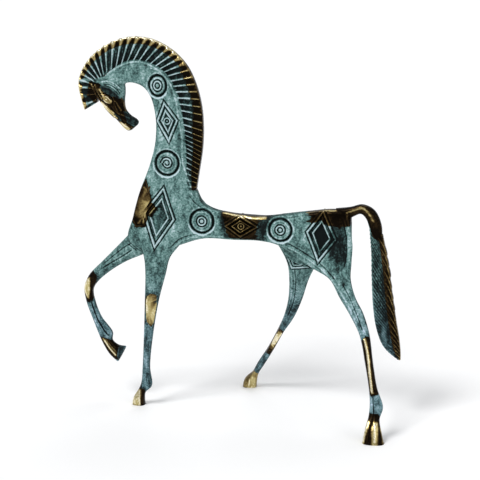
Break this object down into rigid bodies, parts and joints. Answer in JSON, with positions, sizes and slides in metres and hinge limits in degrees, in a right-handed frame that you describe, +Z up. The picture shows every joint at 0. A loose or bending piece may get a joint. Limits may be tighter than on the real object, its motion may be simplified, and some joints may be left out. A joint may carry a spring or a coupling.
{
  "type": "geometric horse figure",
  "caption": "Standing cast horse in the geometric manner: flat plank body and neck, ribbed crest, thin splayed legs, lifted foreleg, grooved tail, raised rings and lozenges.",
  "frame": {"origin": "centre of the figure's footprint box, on the ground under the hooves", "axes": "+Z up along the figure's height, -X the way the horse faces, -Y its near (left) side"},
  "size_m": [0.1654, 0.0834, 0.1899],
  "materials": {
    "patina": "patinated"
  },
  "bodies": {
    "root": {"horse": "patina"}
  },
  "joints": []
}
